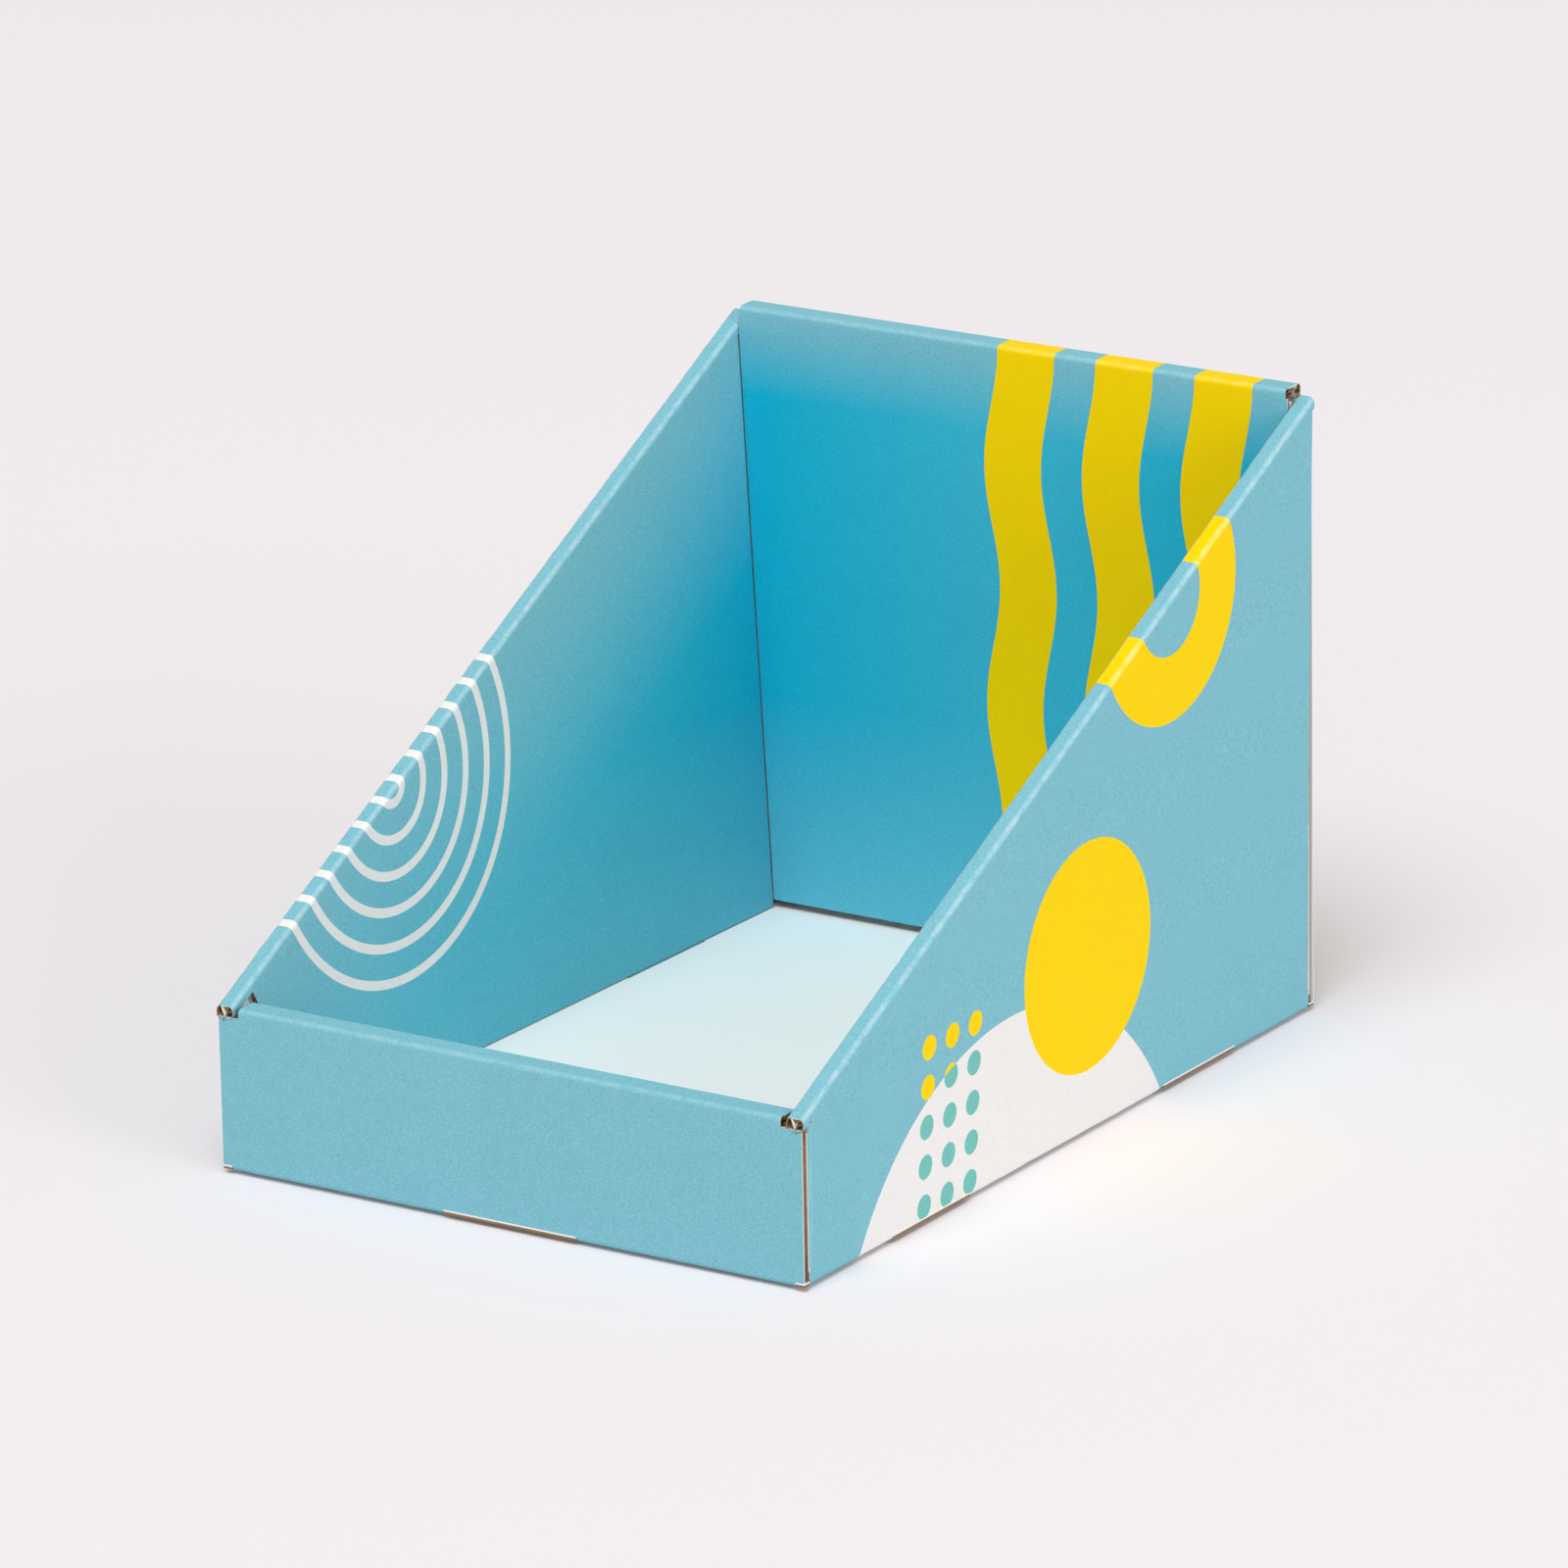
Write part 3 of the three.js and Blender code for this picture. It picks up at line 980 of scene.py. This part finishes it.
def floor_bleed(wires, inks, where, paint):
    """The bare underside: the ground colour only runs a little way in from the creases."""
    size = CAD_BOX[1] - CAD_BOX[0]
    across, along, _ = wires.parts(where)
    bare = wires.times(
        band(wires, inks, across, 0.0, size.x - 2 * inks.bleed),
        band(wires, inks, along, 0.0, size.y - 2 * inks.bleed),
    )
    return wires.mix(bare, paint, inks.liner)


def below_rim(wires, where, rim, depth):
    """0 at a wall's rim, rising to 1 at a depth inside the bin."""
    down = wires.vector("SUBTRACT", tuple(rim.middle()), where)
    fall = wires.vector("DOT_PRODUCT", down, tuple(rim.normal))
    return wires.steps(fall, 0.0, depth)


def shaded_inner_ground(wires, inks, where, wall):
    """The flood colour of a lining as painted shade: deeper below the rim, deepest in the rear
    corners.
    """
    fade = inks.side_fade if wall in SIDES else inks.fade
    rim_shade = below_rim(wires, where, panel_sheet(f"{wall}_rim_strip"), fade)
    across, along, height = wires.parts(where)
    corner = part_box("left_inner_panel")[1]
    aside = wires.minus(wires.math("ABSOLUTE", across), abs(corner.x))
    behind = wires.minus(along, corner.y)
    far = wires.vector("LENGTH", wires.joined(aside, behind))
    # The painted corner shade weakens near the floor, as painted bounce light off the floor.
    raised = wires.steps(height, 0.0, inks.bounce_light_height)
    corner_shade = wires.times(wires.steps(far, 0.0, inks.corner_shade_reach, 1.0, 0.0), raised)
    flood = wires.mix(corner_shade, inks.inner, inks.corner)
    # The painted shade below the rim is lighter near the floor too: painted bounce light.
    rim_shade = wires.times(rim_shade, wires.steps(height, 0.0, inks.bounce_light_height, FLOOR_BOUNCE_SHARE, 1.0))
    return wires.mix(rim_shade, inks.ground, flood)


def start_paper(name, mottle, grain):
    """A new paper material: its wires, its shader, its place, its grain and its shade."""
    material, shader = tree_of(name)
    wires = Wires(material.node_tree)
    where = wires.attribute(PLACE)["Vector"]
    paper = wires.group("Paper Grain", place=where, mottle=mottle, grain=grain)
    shade = wires.joined(paper["Shade"], paper["Shade"], paper["Shade"])
    return wires, shader, where, paper, shade


def finish_paper(wires, shader, paper, tone, roughness, bump):
    """Feeds the colour, and the roughness and bump of the paper's fibres."""
    wires.feed(shader.inputs["Base Color"], tone)
    wires.feed(shader.inputs["Roughness"], wires.steps(paper["Height"], *FIBRES, *roughness))
    node = wires.add("Bump")
    node.inputs["Strength"].default_value = bump
    node.inputs["Distance"].default_value = RELIEF
    wires.feed(node.inputs["Height"], paper["Height"])
    wires.feed(shader.inputs["Normal"], node.outputs["Normal"])


def make_print(inks, name, figures):
    """Matt ink on white-lined board; the figures show less of the grain than the ground."""
    wires, shader, where, paper, shade = start_paper(name, mottle=0.15, grain=0.75)
    bend = wires.group("Crease Wear", place=where, wear=wires.attribute(WEAR_AND_HIGHLIGHT)["Fac"])
    paint = inks.ground
    # Linings get a ground with painted shade inside the bin.
    if name.endswith("lining_print"):
        paint = shaded_inner_ground(wires, inks, where, name.split("_")[0])
    paint = wires.mix(GROUND_SHADE, paint, shade, "MULTIPLY")
    for figure in figures:
        paint = figure(wires, inks, where, paint)
    tone = wires.mix(PRINT_SHADE, paint, shade, "MULTIPLY")
    tone = wires.mix(wires.times(paper["Specks"], PRINT_SPECKS), tone, PRINT_SPECK)
    # Thin and cracked ink whitens each crease's bend: wear, and a painted highlight as well.
    tone = wires.mix(wires.times(bend["Thin"], THIN_INK_AND_HIGHLIGHT), tone, inks.white)
    tone = wires.mix(wires.times(bend["Cracks"], CRACKED_INK), tone, inks.white)
    finish_paper(wires, shader, paper, tone, roughness=(0.46, 0.62), bump=0.16)
    shader.inputs["Specular IOR Level"].default_value = PRINT_SPECULAR


def make_plain_paper(name, paint, mottle, grain, roughness):
    """Bare paper: the white liner, or the brown fluting."""
    wires, shader, _, paper, shade = start_paper(name, mottle, grain)
    tone = wires.mix(1.0, paint, shade, "MULTIPLY")
    tone = wires.mix(wires.times(paper["Specks"], PAPER_SPECKS), tone, PAPER_SPECK)
    finish_paper(wires, shader, paper, tone, roughness, bump=0.2)
    shader.inputs["Specular IOR Level"].default_value = PAPER_SPECULAR


# Stage


def seen_directly(wires):
    """1 where a ray comes from the camera or off a shiny surface, 0 for light that is cast."""
    rays = wires.add("LightPath").outputs
    shiny = wires.math("MAXIMUM", rays["Is Glossy Ray"], rays["Is Transmission Ray"])
    return wires.math("MAXIMUM", rays["Is Camera Ray"], shiny)


def make_backdrop(context, stage):
    """A wide pale floor that keeps the contact shadow."""
    material, shader = tree_of("backdrop")
    wires = Wires(material.node_tree)
    pale = (*stage.backdrop, 1)
    shader.inputs["Base Color"].default_value = pale
    shader.inputs["Roughness"].default_value = 0.9
    shader.inputs["Specular IOR Level"].default_value = 0.0
    glow = wires.add("Emission", pale)
    far = wires.vector("LENGTH", wires.add("TexCoord").outputs["Object"])
    limits = (stage.glow_start, stage.glow_end, stage.glow_least, stage.glow_most)
    share = wires.times(seen_directly(wires), wires.steps(far, *limits))
    mixed = wires.mix_shaders(share, shader.outputs["BSDF"], glow.outputs["Emission"])
    output = next(node for node in wires.nodes if node.type == "OUTPUT_MATERIAL")
    wires.feed(output.inputs["Surface"], mixed)
    plane = bmesh.new()
    lowered = Matrix.Translation((0, 0, -stage.floor_gap))
    size = stage.floor_size / 2
    bmesh.ops.create_grid(plane, x_segments=1, y_segments=1, size=size, matrix=lowered)
    object_of(context, "backdrop", plane, ["backdrop"])


def make_lights(context, stage):
    """Even light from all round, a wide lamp overhead and a fill from the right."""
    world = bpy.data.worlds.new("room")
    context.scene.world = world
    world.use_nodes = True
    wires = Wires(world.node_tree)
    light = wires.nodes["Background"]
    light.inputs["Color"].default_value = (1, 1, 1, 1)
    light.inputs["Strength"].default_value = stage.world_light
    cast = light.outputs["Background"]
    shown = wires.add("Background", (*stage.backdrop, 1)).outputs["Background"]
    mixed = wires.mix_shaders(seen_directly(wires), cast, shown)
    wires.feed(wires.nodes["World Output"].inputs["Surface"], mixed)
    for name, spot, size, power in (
        ("overhead_lamp", Vector(stage.lamp_spot), stage.lamp_size, stage.lamp_power),
        ("fill_lamp", Vector(stage.fill_spot), stage.fill_size, stage.fill_power),
    ):
        lamp = bpy.data.lights.new(name, "AREA")
        lamp.shape = "DISK"
        lamp.size = size
        lamp.energy = power
        holder = bpy.data.objects.new(name, lamp)
        context.scene.collection.objects.link(holder)
        holder.location = spot
        holder.rotation_euler = (Vector(stage.aim) - spot).to_track_quat("-Z", "Y").to_euler()


def make_camera(context, stage):
    """The camera stands at the front right corner, a little above the rim."""
    turn, rise = stage.azimuth, stage.elevation
    back = Vector(
        (math.sin(turn) * math.cos(rise), -math.cos(turn) * math.cos(rise), math.sin(rise))
    )
    right = Vector((math.cos(turn), math.sin(turn), 0))
    up = back.cross(right)
    tilt = Matrix.Rotation(stage.roll, 3, back)
    lens = bpy.data.cameras.new("camera")
    lens.sensor_width = 36
    lens.lens = stage.lens
    lens.clip_end = 100
    camera = bpy.data.objects.new("camera", lens)
    context.scene.collection.objects.link(camera)
    spot = Vector(stage.aim) + back * stage.distance
    camera.matrix_world = placed(spot, tilt @ right, tilt @ up, back)
    context.scene.camera = camera


# Operators


class BIN_OT_papers(bpy.types.Operator):
    """Make the inks and papers"""

    bl_idname = "card_bin.papers"
    bl_label = "Inks and Papers"

    def execute(self, context):
        inks = context.scene.bin_print
        make_paper_group()
        make_wear_and_highlight_group()
        make_band_group()
        make_distance_group()
        figures = {
            "front_wall_print": (),
            "front_lining_print": (),
            "back_wall_print": (wavy_stripes,),
            "back_lining_print": (wavy_stripes,),
            "left_wall_print": (white_rings,),
            "left_lining_print": (white_rings,),
            "right_wall_print": (hill_and_dots, yellow_hoop),
            "right_lining_print": (yellow_hoop,),
            "floor_print": (floor_bleed,),
        }
        for name, drawn in figures.items():
            make_print(inks, name, drawn)
        rough = (0.56, 0.68)
        make_plain_paper("white_liner", inks.liner, mottle=0.06, grain=0.05, roughness=rough)
        rough = (0.79, 0.91)
        make_plain_paper("kraft", inks.kraft, mottle=0.9, grain=0.6, roughness=rough)
        return {"FINISHED"}


class BIN_OT_floor(bpy.types.Operator):
    """Build the floor of the bin, with its lock slots"""

    bl_idname = "card_bin.floor"
    bl_label = "Floor"

    def execute(self, context):
        board = context.scene.bin_board
        sheet = panel_sheet("base_panel")
        core = [
            Vector((corner.x * FLOOR_CORE, corner.y * FLOOR_CORE, corner.z))
            for corner in rectangle_round(sheet)
        ]
        plain = Sheet(core, sheet.normal, sheet.flutes)
        make_panel(context, "base_panel", sheet, folds_round("base_panel", sheet, board), plain)
        return {"FINISHED"}


class BIN_OT_walls(bpy.types.Operator):
    """Build the outer panels, rims and inner panels of the four walls"""

    bl_idname = "card_bin.walls"
    bl_label = "Double Walls"

    def execute(self, context):
        board = context.scene.bin_board
        floor = panel_sheet("base_panel")
        for wall in WALLS:
            for part in ("outer_panel", "rim_strip", "inner_panel"):
                node = f"{wall}_{part}"
                sheet = panel_sheet(node)
                if part == "inner_panel" and wall not in SIDES:
                    for corner in sheet.corners:
                        corner.x += math.copysign(board.end_fill, corner.x)
                folds = folds_round(node, sheet, board)
                held = []
                if part == "outer_panel":
                    foot = next(fold for fold in folds if fold.hinge.parent == "base")
                    held.append((foot, foot.spans(floor), board.slot_lift))
                    for fold, spans in flap_folds(node, sheet, board):
                        folds.append(fold)
                        held.append((fold, spans, 0.0))
                make_panel(context, node, sheet, folds, held=held)
        return {"FINISHED"}


class BIN_OT_tabs(bpy.types.Operator):
    """Build the lock tabs at the feet of the inner panels"""

    bl_idname = "card_bin.tabs"
    bl_label = "Lock Tabs"

    def execute(self, context):
        for node in BODY_OF:
            if node.endswith("lock_tab"):
                make_panel(context, node, panel_sheet(node), ())
        return {"FINISHED"}


class BIN_OT_flaps(bpy.types.Operator):
    """Build the dust flaps of the sides"""

    bl_idname = "card_bin.flaps"
    bl_label = "Dust Flaps"

    def execute(self, context):
        board = context.scene.bin_board
        for node in BODY_OF:
            if node.endswith("flap"):
                low = Vector((0, 0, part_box("base_panel")[1].z + board.flap_lift))
                make_panel(context, node, flap_sheet(node), (), trims=[(low, -UP, 0, 0)])
        return {"FINISHED"}


class BIN_OT_creases(bpy.types.Operator):
    """Build the rounded creases between the panels"""

    bl_idname = "card_bin.creases"
    bl_label = "Creases"

    def execute(self, context):
        board = context.scene.bin_board
        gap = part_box("front_rim_strip")[1].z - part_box("front_outer_panel")[1].z
        floor = panel_sheet("base_panel")
        for wall in WALLS:
            ends = FLUTE_LINE if wall in SIDES else None
            # Each kind of crease whitens by its share of worn ink and painted highlight.
            wear = SIDE_RIM_WEAR_AND_HIGHLIGHT if wall in SIDES else END_RIM_WEAR_AND_HIGHLIGHT
            outer = panel_sheet(f"{wall}_outer_panel")
            rim = panel_sheet(f"{wall}_rim_strip")
            wall_print, lining_print = f"{wall}_wall_print", f"{wall}_lining_print"
            foot = Fold(HINGES[f"{wall}_fold"], floor, board)
            look = (wall_print, "outer_print", FOOT_WEAR_AND_HIGHLIGHT)
            make_crease(context, foot, foot.spans(floor), (gap, foot.edge), look)
            over = Fold(HINGES[f"{wall}_rim_fold"], outer, board)
            down = Fold(HINGES[f"{wall}_lining_fold"], rim, board)
            spans = over.spans(rim)
            half = (down.hinge.point - over.hinge.foot(down.hinge.point)).length / 2
            look = (wall_print, "rim_print", wear)
            rooms = (math.inf, half)
            make_crease(context, over, spans, (gap, over.edge), look, rooms, ends)
            spans = down.spans(rim)
            look = (lining_print, "rim_print", wear)
            rooms = (half, math.inf)
            make_crease(context, down, spans, (down.edge, gap), look, rooms, ends)
            for fold, spans in flap_folds(f"{wall}_outer_panel", outer, board):
                look = (wall_print, "outer_print", FLAP_WEAR_AND_HIGHLIGHT)
                make_crease(context, fold, spans, (fold.edge, gap), look)
        return {"FINISHED"}


class BIN_OT_stage(bpy.types.Operator):
    """Set up the floor, the light and the camera"""

    bl_idname = "card_bin.stage"
    bl_label = "Stage"

    def execute(self, context):
        stage = context.scene.bin_stage
        make_backdrop(context, stage)
        make_lights(context, stage)
        make_camera(context, stage)
        context.scene.view_settings.view_transform = "Standard"
        return {"FINISHED"}


class BIN_PT_panel(bpy.types.Panel):
    """Lists the steps of the bin"""

    bl_idname = "BIN_PT_panel"
    bl_label = "Card Bin"
    bl_space_type = "VIEW_3D"
    bl_region_type = "UI"
    bl_category = "Card Bin"

    def draw(self, context):
        for step in STEPS:
            self.layout.operator(step.bl_idname)
        for group in GROUPS:
            settings = getattr(context.scene, group)
            for name in settings.__annotations__:
                self.layout.prop(settings, name)


STEPS = (
    BIN_OT_papers,
    BIN_OT_floor,
    BIN_OT_walls,
    BIN_OT_tabs,
    BIN_OT_flaps,
    BIN_OT_creases,
    BIN_OT_stage,
)
GROUPS = {"bin_board": BoardSettings, "bin_print": PrintSettings, "bin_stage": StageSettings}


add_classes, remove_classes = bpy.utils.register_classes_factory(
    (*GROUPS.values(), *STEPS, BIN_PT_panel)
)


def register():
    add_classes()
    for name, group in GROUPS.items():
        setattr(bpy.types.Scene, name, PointerProperty(type=group))


def unregister():
    for name in GROUPS:
        delattr(bpy.types.Scene, name)
    remove_classes()


def main():
    register()
    bpy.ops.card_bin.papers()
    bpy.ops.card_bin.floor()
    bpy.ops.card_bin.walls()
    bpy.ops.card_bin.tabs()
    bpy.ops.card_bin.flaps()
    bpy.ops.card_bin.creases()
    bpy.ops.card_bin.stage()


if __name__ == "__main__":
    main()
